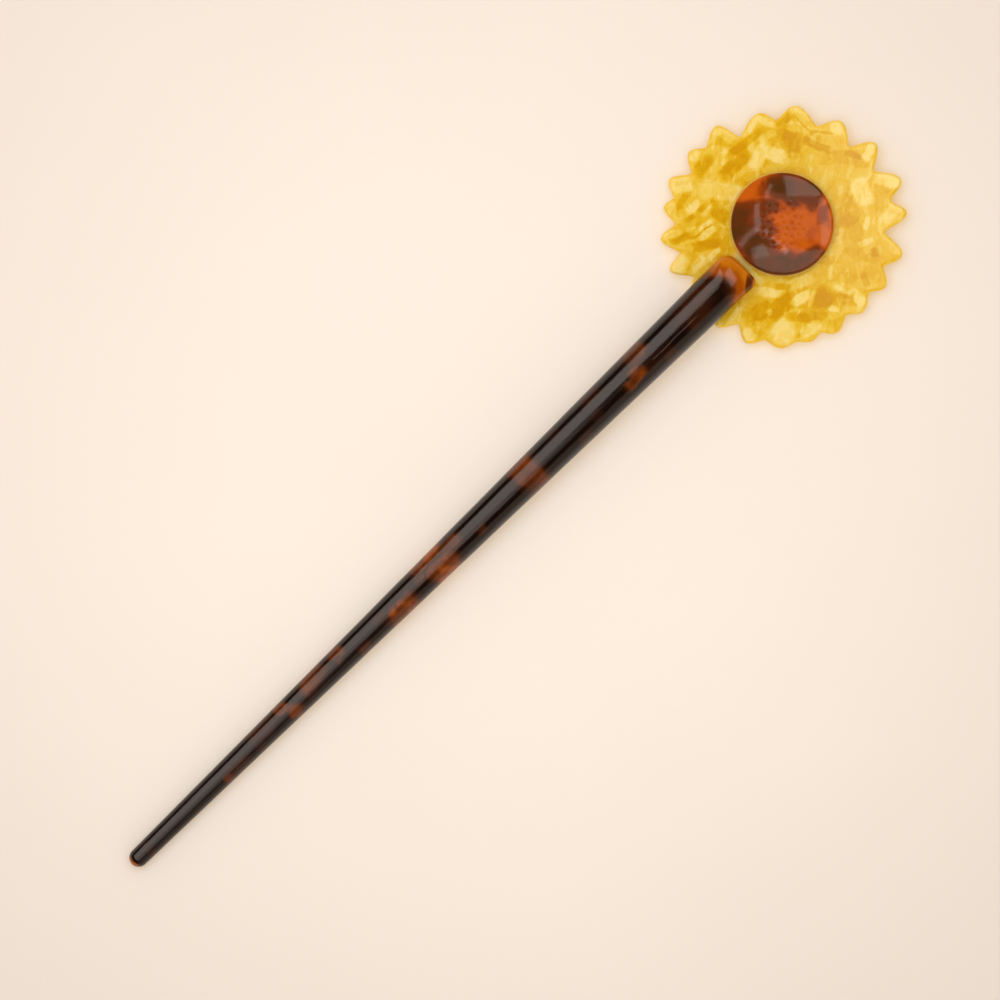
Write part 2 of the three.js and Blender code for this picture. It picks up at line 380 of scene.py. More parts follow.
# The amber patches along the stick: start and end from the tip in millimetres, then middle and half
# width across it as shares of its half width, with +1 at its right side, then turn and strength.
STICK_PATCHES = [
    (-1.0, 0.9, 0.0, 1.6, 0, 0.9),
    (3.6, 5.2, 0.2, 0.9, 0, 0.35),
    (23.4, 25.2, 0.65, 0.5, 0, 0.58),
    (24.0, 29.2, 0.45, 0.6, 0, 0.42),
    (30.8, 34.8, -0.9, 0.5, 0, 0.58),
    (31.4, 33.4, 0.2, 0.7, 0, 0.38),
    (32.0, 37.4, -0.45, 0.7, 0, 0.46),
    (39.0, 43.8, 0.05, 0.4, -40, 0.58),
    (38.2, 41.2, -0.55, 0.5, -20, 0.70),
    (40.2, 42.8, 0.45, 0.6, -40, 0.68),
    (44.6, 50.8, -0.45, 0.7, 12, 0.70),
    (51.6, 55.8, -0.7, 0.5, -22, 0.74),
    (53.0, 54.4, -0.1, 0.3, 0, 0.58),
    (57.3, 60.0, 0.7, 0.45, 0, 0.58),
    (64.8, 72.0, 0.6, 0.7, 8, 0.80),
    (62.8, 66.5, -0.1, 0.3, -20, 0.43),
    (73.8, 82.0, -0.8, 0.4, 0, 0.80),
    (73.2, 76.0, -0.15, 0.3, 0, 0.58),
    (76.0, 82.6, 0.4, 0.75, 0, 0.84),
    (80.0, 85.4, -0.35, 0.4, 0, 0.68),
    (88.0, 90.2, 0.3, 0.3, 0, 0.50),
    (99.4, 105.0, 0.0, 2.4, 0, 0.7),
    (109.0, 112.0, -0.75, 0.3, 0, 0.25),
    (113.0, 116.2, 0.85, 0.3, 0, 0.42),
    (117.4, 119.8, 0.2, 0.25, 0, 0.3),
    (118.0, 122.4, -0.75, 0.35, 0, 0.4),
    (126.0, 131.4, 0.25, 0.3, 6, 0.72),
    (127.4, 130.4, 0.0, 0.3, 0, 0.74),
    (130.0, 137.0, 0.3, 0.25, 0, 0.3),
    (128.6, 134.0, -0.65, 0.5, 10, 0.7),
    (130.2, 132.4, -0.4, 0.3, 0, 0.5),
    (135.0, 137.6, 0.75, 0.4, 0, 0.4),
    (140.4, 149.0, -0.2, 0.4, -8, 0.42),
    (141.6, 147.5, 0.25, 0.3, 0, 0.45),
    (143.0, 151.0, -0.5, 0.3, 0, 0.5),
]
# The head's amber end: its dark core ends in a half ellipse.
CORE_START_MM = 139.2
CORE_LENGTH_MM = 12.7
CORE_HALF_WIDTH_MM = 5.9
# Painted shade: a dark spot at the near corner of its end, as a patch, standing in for the shaded
# gap there.
HEAD_CORNER_SHADE = (STICK_END - 1.5, AXIS_Y - 3.2, 1.3, 0.5, 38, 0.34)
# Fine ridges left by polishing: start, end and place across, in millimetres from the tip and axis.
RIDGES = [(94.0, 112.0, -0.15), (131.5, 146.0, -0.75)]
RIDGE_HALF_WIDTH_MM = 0.12
RIDGE_RUN_OUT_MM = 3.0
RIDGE_SWAY_MM = 0.9
RIDGE_SWAYS_PER_MM = 0.12
RIDGE_HEIGHT = 3.0  # as many times the height of the polishing marks
DARK_TO_AMBER = [
    (0.0, (23, 10, 5)),
    (0.3, (38, 15, 6)),
    (0.5, (58, 25, 7)),
    (0.7, (100, 45, 9)),
    (0.88, (160, 76, 1)),
    (1.0, (200, 116, 8)),
]


def stick_patches():
    placed = []
    for start, end, middle, half, turn, strength in STICK_PATCHES:
        centre = (start + end) / 2
        radius = stick_radius(min(max(centre, TIP_RADIUS_MM), STICK_LENGTH))
        x = STICK_START + centre
        y = AXIS_Y - middle * radius
        placed.append((x, y, (end - start) / 2, half * radius, turn, strength))
    return placed


def head_amber(tree, where):
    """How far out of the head's dark core a place is: 0 inside it, towards 1 at the head's end."""
    middle = (STICK_START + CORE_START_MM, AXIS_Y)
    inside = tree.within(where, middle, (CORE_LENGTH_MM, CORE_HALF_WIDTH_MM))
    reach = tree.length(tree.vector("MAXIMUM", inside, (0, -ENDLESS_MM, -ENDLESS_MM)))
    near = tree.ease(reach, 0.84, 1.2, 0.0, 0.88)
    end = tree.ease(reach, 1.22, 1.36, 0.0, 0.12)
    return tree.math("ADD", near, end)


def ridge_height(tree, where):
    """Thin wavering ridges along the stick."""
    drift = tree.noise(tree.vector("MULTIPLY", where, (RIDGE_SWAYS_PER_MM, 0, 0)), 1.0, detail=1.0)
    x, y, _ = tree.parts(where)
    y = tree.math("ADD", y, tree.math("MULTIPLY", drift, RIDGE_SWAY_MM))
    total = 0.0
    for start, end, across in RIDGES:
        middle = STICK_START + (start + end) / 2
        half_length = (end - start) / 2
        crest = AXIS_Y + across + RIDGE_SWAY_MM / 2
        off = tree.math("ABSOLUTE", tree.math("SUBTRACT", y, crest))
        along = tree.math("ABSOLUTE", tree.math("SUBTRACT", x, middle))
        fade = tree.ease(along, half_length, half_length - RIDGE_RUN_OUT_MM)
        ridge = tree.math("MULTIPLY", fade, tree.ease(off, RIDGE_HALF_WIDTH_MM, 0.0))
        total = tree.math("MAXIMUM", total, ridge)
    return total


def stick_material():
    tree = Tree("dark_tortoiseshell", **ACETATE)
    where = tree.layout_mm()
    drifted = tree.warped(tree.warped(where, 0.3, 1.6), 1.3, 0.5)
    share = add_patches(tree, drifted, stick_patches(), soft=0.42)
    cloud = tree.noise(where, 0.3, detail=3.0)
    share = tree.math("MULTIPLY", share, tree.ease(cloud, 0.3, 0.7, 0.78, 1.04))
    share = tree.math("MAXIMUM", share, head_amber(tree, drifted))
    # Painted shade at the head's near corner, on the head's upper half only.
    painted_corner_shade = add_patches(tree, where, [HEAD_CORNER_SHADE], soft=0.7)
    upper_half = tree.ease(tree.parts(where)[2], AXIS_Z - 0.6, AXIS_Z + 0.6)
    share = tree.math("SUBTRACT", share, tree.math("MULTIPLY", painted_corner_shade, upper_half), clamp=True)
    tree.put(tree.shader.inputs["Base Color"], tree.colours(share, DARK_TO_AMBER))
    marks = polish(tree, where, (0.25, 5.0, 5.0), 0.08, 0.2)
    ridges = tree.math("MULTIPLY", ridge_height(tree, where), RIDGE_HEIGHT)
    tree.bump(tree.math("ADD", marks, ridges), 0.45, 0.03)
    return tree.material


# ---- Flower plate ---------------------------------------------------------------------------

plate_points = cad_points("flower_plate")
PLATE_THICKNESS_MM = plate_points[:, 2].max()
PLATE_EDGE_MM = 0.6
PLATE_CROWN_MM = 0.22
PLATE_WAVE_MM = 0.05
PLATE_POLISH_MM = 0.02  # how far the polished edge lies within the CAD's
PETAL_REACH_MM = 22.0
FACE_DEPTH_MM = 20.0  # roughly how deep the plate's middle lies behind its edge
FIRST_SHARE = 0.02  # the innermost ring, as a share of the outline
PLATE_SIDES = 630
FACE_RINGS = 52
BACK_RINGS = 10


def plate_outline():
    """The CAD plate's outline, read from its straight wall and smoothed to PLATE_SIDES points."""
    wall = plate_points[np.abs(plate_points[:, 2] - PLATE_EDGE_MM) < 0.05]
    wall = np.unique(wall.round(3), axis=0)
    angles = np.arctan2(wall[:, 1], wall[:, 0])
    order = np.argsort(angles)
    angles = angles[order]
    radii = np.hypot(wall[:, 0], wall[:, 1])[order]
    turn = 2 * math.pi
    angles = np.r_[angles[-3:] - turn, angles, angles[:3] + turn]
    radii = np.r_[radii[-3:], radii, radii[:3]]
    slopes = np.gradient(radii, angles)
    at = np.linspace(-math.pi, math.pi, PLATE_SIDES, endpoint=False)
    i = np.searchsorted(angles, at, side="right") - 1
    width = angles[i + 1] - angles[i]
    u = (at - angles[i]) / width
    smooth = (
        (1 + 2 * u) * (1 - u) ** 2 * radii[i]
        + u * (1 - u) ** 2 * width * slopes[i]
        + u**2 * (3 - 2 * u) * radii[i + 1]
        + u**2 * (u - 1) * width * slopes[i + 1]
    )
    return inset(np.c_[smooth * np.cos(at), smooth * np.sin(at)], PLATE_POLISH_MM)


def face_height(points):
    """The plate's polished face: gently crowned and a little uneven."""
    far = np.hypot(points[:, 0], points[:, 1]) / PETAL_REACH_MM
    uneven = waves(points[:, 0], points[:, 1], seed=8, wavelength=11.0)
    return PLATE_THICKNESS_MM - PLATE_CROWN_MM * far**2 - PLATE_WAVE_MM * uneven


def build_flower_plate():
    """The plate; its edge_depth attribute says how far each ring lies behind the edge."""
    outline = plate_outline()
    rings = []
    depth = []
    inner = inset(outline, PLATE_EDGE_MM)
    for share in np.linspace(FIRST_SHARE, 1, FACE_RINGS):
        flat = inner * share
        rings.append(np.c_[flat, face_height(flat)])
        depth.append(PLATE_EDGE_MM + (1 - share) * FACE_DEPTH_MM)
    for angle in np.linspace(math.pi / 2, 0, EDGE_STEPS)[1:]:
        inwards = PLATE_EDGE_MM * (1 - math.cos(angle))
        flat = inset(outline, inwards)
        fall = PLATE_EDGE_MM * (1 - math.sin(angle))
        rings.append(np.c_[flat, face_height(inner) - fall])
        depth.append(inwards)
    for angle in np.linspace(0, -math.pi / 2, EDGE_STEPS):
        inwards = PLATE_EDGE_MM * (1 - math.cos(angle))
        rings.append(at_height(inset(outline, inwards), PLATE_EDGE_MM * (1 + math.sin(angle))))
        depth.append(inwards)
    for share in np.linspace(1, FIRST_SHARE, BACK_RINGS)[1:]:
        rings.append(at_height(inner * share, 0.0))
        depth.append(PLATE_EDGE_MM + (1 - share) * FACE_DEPTH_MM)
    top = (0, 0, face_height(np.zeros((1, 2)))[0])
    return loft(
        "flower_petals",
        top,
        rings,
        (0, 0, 0),
        flower_material(),
        "flower_plate",
        {"edge_depth": np.array(depth)},
    )


# The flower's largest flakes, as patches in the layout frame: first pale ones, then deep gold ones.
PALE_FLAKES = [
    (-8.0, 18.9, 2.2, 1.5, -30, 0.42),
    (-12.6, 17.4, 1.3, 0.9, 20, 0.3),
    (-9.2, 14.5, 1.4, 0.7, -5, 0.4),
    (-10.2, 10.4, 2.1, 0.42, -6, 0.45),
    (-10.6, 9.1, 1.9, 0.6, -8, 0.5),
    (-8.0, 11.9, 1.3, 0.45, 0, 0.3),
    (-18.4, 8.4, 1.9, 1.3, 20, 0.35),
    (-15.6, 6.2, 1.6, 0.9, 0, 0.35),
    (-12.3, 5.3, 1.3, 0.5, 0, 0.4),
    (-15.5, 13.4, 2.0, 0.6, -20, 0.35),
    (-3.6, 13.0, 3.9, 1.5, -47, 0.36),
    (-1.0, 16.6, 3.3, 0.95, 8, 0.32),
    (-2.2, 20.9, 1.2, 0.8, 20, 0.4),
    (2.2, 20.6, 1.7, 0.45, 35, 0.3),
    (4.3, 19.6, 0.9, 1.6, 10, 0.3),
    (9.6, 17.5, 1.9, 0.4, 18, 0.35),
    (11.2, 16.2, 0.6, 1.6, 25, 0.35),
    (6.2, 12.6, 2.6, 1.2, 12, 0.5),
    (8.2, 10.9, 1.2, 2.2, 30, 0.42),
    (4.4, 11.2, 2.8, 0.4, 48, 0.35),
    (16.6, 12.8, 1.2, 1.8, 0, 0.25),
    (20.0, 6.4, 1.5, 1.0, 50, 0.35),
    (15.0, -5.4, 1.7, 2.4, -28, 0.55),
    (19.9, -7.0, 1.2, 2.3, 35, 0.5),
    (20.9, -0.9, 1.8, 0.8, 15, 0.6),
    (16.2, -11.8, 2.4, 1.1, 5, 0.42),
    (11.6, -10.0, 1.2, 0.45, 28, 0.45),
    (8.9, -12.3, 1.4, 0.5, -20, 0.42),
    (6.3, -8.4, 1.5, 0.42, 28, 0.35),
    (0.6, -12.0, 1.3, 0.4, 40, 0.4),
    (-0.3, -15.2, 0.4, 1.3, 20, 0.35),
    (0.9, -18.4, 1.0, 1.8, 0, 0.45),
    (-4.8, -9.2, 2.5, 1.1, -25, 0.4),
    (-10.2, -6.6, 2.3, 0.9, -50, 0.38),
    (-6.9, -11.6, 1.7, 0.85, -12, 0.65),
    (-5.3, -12.9, 1.4, 0.4, 30, 0.4),
    (-13.4, -13.4, 2.3, 2.0, 0, 0.42),
    (-9.3, -16.7, 1.9, 1.1, -10, 0.45),
    (-3.8, -17.0, 0.5, 1.1, 35, 0.5),
    (-12.6, -9.1, 0.6, 0.5, 0, 0.4),
    (-15.5, -8.9, 0.4, 0.45, 0, 0.35),
    (-18.2, -9.7, 1.0, 1.3, 0, 0.45),
    (-16.8, -5.0, 2.4, 0.5, 5, 0.3),
    (-9.9, -0.6, 0.7, 3.6, 0, 0.5),
]
DEEP_FLAKES = [
    (-2.8, 18.4, 2.0, 1.3, 20, 0.42),
    (1.8, 14.4, 2.9, 1.2, 3, 0.5),
    (6.2, 16.0, 3.8, 0.75, -8, 0.5),
    (12.3, 10.3, 1.7, 1.7, 40, 0.6),
    (14.9, 6.6, 0.6, 3.0, 22, 0.5),
    (15.8, 10.8, 0.25, 2.2, -2, 0.45),
    (17.2, 7.6, 0.25, 2.2, 42, 0.45),
    (14.2, 14.2, 1.9, 0.8, -12, 0.42),
    (18.5, 0.6, 0.5, 1.6, 25, 0.42),
    (9.6, -7.5, 1.4, 1.0, -10, 0.25),
    (8.8, -14.8, 0.7, 0.9, -30, 0.45),
    (4.2, -17.0, 0.6, 1.3, -10, 0.4),
    (-3.9, -14.4, 2.1, 1.6, 10, 0.5),
    (-6.6, -16.0, 1.5, 0.8, -50, 0.4),
    (-1.1, -17.2, 1.0, 2.2, 35, 0.35),
    (-10.4, -9.9, 2.4, 1.6, -10, 0.55),
    (-13.8, -8.0, 2.6, 1.4, -10, 0.45),
    (-7.6, -7.5, 1.5, 0.6, -50, 0.4),
    (-9.3, -13.8, 2.3, 0.8, -50, 0.35),
    (-13.6, 11.3, 2.6, 0.7, -25, 0.42),
    (-12.4, 7.6, 2.6, 0.9, -35, 0.5),
    (-6.4, 10.0, 1.2, 1.8, 10, 0.42),
    (-8.6, 13.1, 3.0, 0.5, -5, 0.35),
    (-9.8, 16.5, 1.6, 0.6, 10, 0.3),
    (-10.8, 9.8, 1.9, 0.18, -6, 0.4),
]
DEEP_TO_PALE = [
    (0.0, (215, 161, 6)),
    (0.25, (224, 178, 16)),
    (0.45, (231, 193, 48)),
    (0.65, (236, 204, 78)),
    (0.85, (240, 214, 110)),
    (1.0, (244, 222, 136)),
]
BASE_TONE = 0.44
# Painted shade and light at the plate's edge: a deeper gold line on the rounded edges, where they
# bend light away, and a paler wall between them that stands in for light carried through the sheet
# to its side.
EDGE_SHADE_LINE = (230, 184, 42)
EDGE_WALL_GLOW = (250, 216, 104)


def pearl_flakes(tree, where, scale, stretch, turn):
    """One layer of flakes: each one's random tone and chance, and streaks along its own heading."""
    drawn_out = tree.vector("MULTIPLY", tree.turned(where, turn), stretch)
    inputs = {"Vector": drawn_out, "Scale": scale, "Smoothness": 0.3}
    cells = tree.add("ShaderNodeTexVoronoi", inputs, feature="SMOOTH_F1")
    split = tree.add("ShaderNodeSeparateColor", {"Color": cells.outputs["Color"]}).outputs
    along = tree.turned(where, tree.math("MULTIPLY", split[1], math.pi))
    streaks = tree.noise(
        tree.vector("MULTIPLY", along, (0.5, 3.2, 1.0)), 1.0, detail=4.0, roughness=0.6
    )
    return split[0], split[2], streaks


def flower_tone(tree, where):
    """How pale the sheet is at a place, from 0, deep gold, to 1, nearly white."""
    drifted = tree.warped(tree.warped(where, 0.3, 1.2), 1.4, 0.4)
    big, _, streaks = pearl_flakes(tree, drifted, 0.34, (1.0, 1.5, 0.6), 0.6)
    small, chance, fine = pearl_flakes(tree, drifted, 0.6, (1.0, 2.2, 0.8), -0.7)
    tone = tree.math("ADD", BASE_TONE, tree.ease(big, 0.15, 0.85, -0.11, 0.13))
    here_and_there = tree.ease(chance, 0.45, 0.6)
    patchy = tree.math("MULTIPLY", here_and_there, tree.ease(small, 0.2, 0.8, -0.12, 0.2))
    tone = tree.math("ADD", tone, patchy)
    tone = tree.math("ADD", tone, tree.ease(streaks, 0.3, 0.7, -0.09, 0.09))
    tone = tree.math("ADD", tone, tree.ease(fine, 0.35, 0.65, -0.05, 0.05))
    tone = tree.math("ADD", tone, add_patches(tree, drifted, PALE_FLAKES, 0.3))
    deep = tree.math("MULTIPLY", add_patches(tree, drifted, DEEP_FLAKES, 0.36), 0.85)
    return tree.math("SUBTRACT", tone, deep, clamp=True)


def flower_material():
    tree = Tree(
        "pearl_yellow_acetate",
        Subsurface_Weight=0.7,
        Subsurface_Radius=(1.0, 0.8, 0.25),
        Subsurface_Scale=0.9 * MM,
        **ACETATE,
    )
    where = tree.layout_mm()
    depth = tree.add("ShaderNodeAttribute", attribute_name="edge_depth").outputs["Fac"]
    # Painted light: the sheet is paler within about 2 mm of its edge, where the rounded edge
    # catches light.
    painted_edge_light = tree.ease(depth, 0.5, 2.2, 0.14, 0.0)
    tone = tree.math("ADD", flower_tone(tree, where), painted_edge_light, clamp=True)
    colour = tree.colours(tone, DEEP_TO_PALE)
    # Painted shade: a deeper gold line on the rounded edges.
    colour = tree.blend(tree.ease(depth, 0.3, 0.6, 0.45, 0.0), colour, linear(EDGE_SHADE_LINE))
    # Painted light: the side wall is made bright gold, as if lit by light carried through the
    # sheet.
    colour = tree.blend(tree.ease(depth, 0.06, 0.24, 0.85, 0.0), colour, linear(EDGE_WALL_GLOW))
    tree.put(tree.shader.inputs["Base Color"], colour)
    marks = polish(tree, where, (1.4, 1.4, 1.4), 0.08, 0.16)
    tree.bump(marks, 0.1, 0.03)
    return tree.material


# ---- Centre disc ----------------------------------------------------------------------------

disc_points = cad_points("centre_disc")
DISC_LOW = disc_points.min(axis=0)
DISC_HIGH = disc_points.max(axis=0)
DISC_X, DISC_Y = ((DISC_LOW + DISC_HIGH) / 2)[:2]
DISC_RADIUS_MM = (DISC_HIGH[0] - DISC_LOW[0]) / 2
DISC_CROWN_MM = 0.65
DISC_WAVE_MM = 0.03
DISC_EDGE_MM = 0.5
DISC_SIDES = 320
DISC_RINGS = 84
DISC_FIRST_RING_MM = 0.12
# The lower edge's rings, then one under the disc: how far in from the side and how far up.
DISC_FOOT = [(0.0, 0.15), (0.04, 0.05), (0.15, 0.0), (4.0, 0.0)]
SEED_COUNT = 34
SEED_SPACING_MM = 0.74
SEED_TURN = math.pi * (3 - math.sqrt(5))
SEED_RADIUS_MM = 0.36
SEED_DEPTH_MM = 0.1
SEED_LIP_MM = 0.018
SEED_LIP_REACH = 1.15  # the raised lip's radius and width, as shares of the pit's radius
SEED_LIP_WIDTH = 0.18
SEEDED_SHARE = 0.65  # of the disc's radius


def seed_places():
    """The pits' middles, on a sunflower's spiral round the disc's middle."""
    index = np.arange(SEED_COUNT)
    reach = SEED_SPACING_MM * np.sqrt(index + 0.5)
    return np.c_[reach * np.cos(index * SEED_TURN), reach * np.sin(index * SEED_TURN)]


def disc_height(flat):
    """The disc's domed top, pressed with seed pits, at places from the disc's middle."""
    reach = np.hypot(flat[:, 0], flat[:, 1])
    dome = DISC_HIGH[2] - DISC_CROWN_MM * (reach / DISC_RADIUS_MM) ** 2
    uneven = DISC_WAVE_MM * waves(flat[:, 0], flat[:, 1], seed=5, wavelength=6.5)
    gaps = flat[:, None, :] - seed_places()[None, :, :]
    nearest = np.sqrt((gaps**2).sum(axis=2)).min(axis=1) / SEED_RADIUS_MM
    pit = SEED_DEPTH_MM * np.clip(1 - nearest**2, 0, 1)
    lip = SEED_LIP_MM * np.exp(-(((nearest - SEED_LIP_REACH) / SEED_LIP_WIDTH) ** 2))
    return dome - uneven - pit + lip * (reach < DISC_RADIUS_MM * SEEDED_SHARE)


def build_centre_disc():
    angles = np.linspace(0, 2 * math.pi, DISC_SIDES, endpoint=False)
    circle = np.c_[np.cos(angles), np.sin(angles)]
    centre = np.array([DISC_X, DISC_Y])
    rings = []
    face_reach = DISC_RADIUS_MM - DISC_EDGE_MM
    for reach in np.linspace(DISC_FIRST_RING_MM, face_reach, DISC_RINGS):
        rings.append(np.c_[circle * reach + centre, disc_height(circle * reach)])
    shoulder = disc_height(circle * face_reach)
    for angle in np.linspace(math.pi / 2, 0, EDGE_STEPS)[1:]:
        reach = DISC_RADIUS_MM - DISC_EDGE_MM * (1 - math.cos(angle))
        fall = DISC_EDGE_MM * (1 - math.sin(angle))
        rings.append(np.c_[circle * reach + centre, shoulder - fall])
    for inwards, up in DISC_FOOT:
        flat = circle * (DISC_RADIUS_MM - inwards) + centre
        rings.append(at_height(flat, DISC_LOW[2] + up))
    top = (*centre, disc_height(np.zeros((1, 2)))[0])
    return loft(
        "centre_disc_body",
        top,
        rings,
        (*centre, DISC_LOW[2]),
        disc_material(),
        "centre_disc",
    )


# Dark blotches in the disc's amber, as patches from its middle along its own grain.
DISC_GRAIN = math.radians(44.4)  # how far the grain stands from the stick's axis
DISC_BLOTCHES = [
    (-8.0, -0.4, 1.8, 3.2, 0, 0.9),
    (-4.9, -0.5, 2.3, 2.3, 25, 0.7),
    (-4.4, 2.8, 3.2, 1.3, 8, 0.62),
    (-2.4, 6.4, 1.3, 1.8, 0, 0.45),
    (0.6, 6.6, 2.7, 2.4, -15, 0.9),
    (4.3, 6.1, 2.6, 1.9, -25, 0.8),
    (-5.0, -3.9, 3.0, 1.9, -38, 0.9),
    (-1.7, -7.3, 4.2, 2.5, -10, 0.88),
    (4.2, -7.4, 2.8, 1.8, 25, 0.75),
    (6.2, -5.2, 1.6, 1.4, 40, 0.62),
    (7.3, 2.1, 1.2, 1.5, 0, 0.5),
]
AMBER_TO_DARK = [
    (0.0, (196, 92, 14)),
    (0.25, (172, 74, 12)),
    (0.6, (118, 51, 14)),
    (1.0, (84, 48, 18)),
]


def disc_material():
    tree = Tree("amber_tortoiseshell", **ACETATE)
    where = tree.layout_mm()
    grain = tree.turned(tree.vector("SUBTRACT", where, (DISC_X, DISC_Y, 0)), DISC_GRAIN)
    drifted = tree.warped(tree.warped(grain, 0.22, 3.2), 0.8, 0.8)
    share = add_patches(tree, drifted, DISC_BLOTCHES, soft=0.6)
    cloud = tree.noise(grain, 0.34, detail=3.0)
    share = tree.math("ADD", share, tree.ease(cloud, 0.4, 0.7, 0.0, 0.24), clamp=True)
    tree.put(tree.shader.inputs["Base Color"], tree.colours(share, AMBER_TO_DARK))
    marks = polish(tree, where, (2.0, 2.0, 2.0), 0.04, 0.09)
    tree.bump(marks, 0.06, 0.02)
    return tree.material


# ---- Cement ---------------------------------------------------------------------------------

BEAD_STEPS = 6
DISC_BEAD = (0.16, 0.14)  # how far the bead's foot stands out, and how high it climbs
STICK_BEAD = (0.26, 0.2)
FILM_SINK_MM = 0.05  # how far the film starts below the plate's uneven face
FILM_SIDE_MM = 0.06  # its straight side, below the bead's curve
FILM_TOP_IN_MM = 0.05
FILM_GAP_MM = 0.01  # left under the seat and under the disc
OUTLINE_CLEAR_MM = 0.5  # points nearer the film's middle than this aren't on its outline


def cement_material():
    tree = Tree(
        "clear_cement",
        IOR=1.48,
        Roughness=0.08,
        Subsurface_Weight=0.5,
        Subsurface_Radius=(1.0, 0.7, 0.3),
        Subsurface_Scale=0.5 * MM,
    )
    where = tree.layout_mm()
    haze = tree.noise(where, 1.6, detail=3.0)
    tint = [(0.35, (240, 184, 72)), (0.7, (247, 200, 108))]
    tree.put(tree.shader.inputs["Base Color"], tree.colours(haze, tint))
    tree.bump(haze, 0.2, 0.05)
    return tree.material


def build_cement(name, outline, bead, node, material):
    """A film with a hollow-curved bead round it, built upwards from its underside."""
    foot, rise = bead
    low = PLATE_THICKNESS_MM - FILM_SINK_MM
    high = SEAT_Z - FILM_GAP_MM
    rings = [at_height(outline, low)]
    for angle in np.linspace(0, math.pi / 2, BEAD_STEPS):
        inwards = foot * math.sin(angle)
        up = rise * (1 - math.cos(angle))
        rings.append(at_height(inset(outline, inwards), low + FILM_SIDE_MM + up))
    rings.append(at_height(inset(outline, foot + FILM_TOP_IN_MM), high))
    seen_from_below = [ring[::-1] for ring in rings]
    middle = outline.mean(axis=0)
    first = (*middle, low)
    last = (*middle, high)
    return loft(name, first, seen_from_below, last, material, node)


def cement_outline(node, count):
    """The CAD film's outline, spread evenly by length over count points."""
    points = cad_points(node)
    middle = (points.min(axis=0) + points.max(axis=0))[:2] / 2
    top = points[points[:, 2] > points[:, 2].mean()][:, :2]
    off = top - middle
    edge = top[np.hypot(off[:, 0], off[:, 1]) > OUTLINE_CLEAR_MM]
    order = np.argsort(np.arctan2(edge[:, 1] - middle[1], edge[:, 0] - middle[0]))
    ring = edge[order]
    ring = np.vstack([ring, ring[:1]])
    run = np.r_[0, np.cumsum(np.hypot(*np.diff(ring, axis=0).T))]
    at = np.linspace(0, run[-1], count, endpoint=False)
    return np.c_[np.interp(at, run, ring[:, 0]), np.interp(at, run, ring[:, 1])]


def build_cements():
    material = cement_material()
    disc = cement_outline("disc_cement", 240)
    stick = cement_outline("stick_cement", 160)
    return [
        build_cement("disc_cement_bead", disc, DISC_BEAD, "disc_cement", material),
        build_cement("stick_cement_bead", stick, STICK_BEAD, "stick_cement", material),
    ]


# ---- Stage ----------------------------------------------------------------------------------

PHOTO_TURN = math.radians(44.4)  # how far the stick's axis stands above the picture's horizontal
PICTURE_RIGHT = Vector((math.cos(PHOTO_TURN), -math.sin(PHOTO_TURN), 0))
PICTURE_UP = Vector((math.sin(PHOTO_TURN), math.cos(PHOTO_TURN), 0))
CAMERA_HEIGHT = 1.5
PICTURE_HALF_WIDTH = 0.09155
PICTURE_OFFSET = Vector((0.00001, 0.00032, 0))  # the picture's middle, from the pin's
SENSOR_MM = 36.0


def build_camera():
    low, high = (Vector(corner) for corner in cad_box)
    middle = (low + high) / 2 + PICTURE_OFFSET
    data = bpy.data.cameras.new("camera")
    data.sensor_width = SENSOR_MM
    data.lens = SENSOR_MM / 2 * (CAMERA_HEIGHT - middle.z) / PICTURE_HALF_WIDTH
    data.clip_start = 0.01
    data.clip_end = 20.0
    camera = bpy.data.objects.new("camera", data)
    camera.matrix_world = Matrix.Translation((middle.x, middle.y, CAMERA_HEIGHT)) @ (
        Matrix.Rotation(-PHOTO_TURN, 4, "Z")
    )
    bpy.context.scene.collection.objects.link(camera)
    bpy.context.scene.camera = camera


def light_group(name, members):
    group = bpy.data.collections.new(name)
    for member in members:
        group.objects.link(member)
    return group


def softbox(name, centre, axes, size, radiance, colour, pieces=None, lamp=False):
    """An even rectangular light, which shines against the cross product of its axes.

    A lamp lights matt surfaces and isn't mirrored; any other softbox is only mirrored in glossy
    ones. It works on the pieces given, or else on everything.
    """
    width, height = size
    data = bpy.data.lights.new(name, "AREA")
    data.shape = "RECTANGLE"
    data.size = width
    data.size_y = height
    data.energy = radiance * math.pi * width * height
    data.color = colour
    light = bpy.data.objects.new(name, data)
    x_axis, y_axis = (Vector(axis).normalized() for axis in axes)
    turn = Matrix((x_axis, y_axis, x_axis.cross(y_axis))).transposed().to_4x4()
    light.matrix_world = Matrix.Translation(centre) @ turn
    light.visible_camera = False
    light.visible_diffuse = lamp
    light.visible_transmission = lamp
    light.visible_glossy = not lamp
    bpy.context.scene.collection.objects.link(light)
    if pieces:
        light.light_linking.receiver_collection = light_group(name + "_lights", pieces)
    return light


def ceiling_panel(name, low, high, radiance, piece):
    """A horizontal softbox that one piece mirrors, between two corners in the row frame."""
    centre = ((low[0] + high[0]) / 2, (low[1] + high[1]) / 2, RIG_HEIGHT)
    size = (high[0] - low[0], high[1] - low[1])
    softbox(name, centre, ((1, 0, 0), (0, 1, 0)), size, radiance, WARM, [piece])


WARM = (1.0, 0.88, 0.80)
CARD_GLOW = (1.0, 0.80, 0.62)
NEUTRAL = (1.0, 0.97, 1.0)
ON_FLOOR = (1.0, 0.955, 0.955)
# Of the overhead light: the share that only the petals let by, and the share that nothing stops.
THROUGH_PETALS = (0.4, 0.3, 0.0)
AROUND_ALL = (0.6, 0.42, 0.16)
AMBIENT = (1.0, 0.885, 0.755)
DOME_STRENGTH = 0.7

OVERHEAD_PLACE = PICTURE_UP * 0.088 - PICTURE_RIGHT * 0.053 + Vector((0, 0, 0.56))
OVERHEAD_SIZE = (0.52, 0.52)
OVERHEAD_ON_PIN = 2.0
OVERHEAD_ON_FLOOR = 3.0

RIG_HEIGHT = 0.30
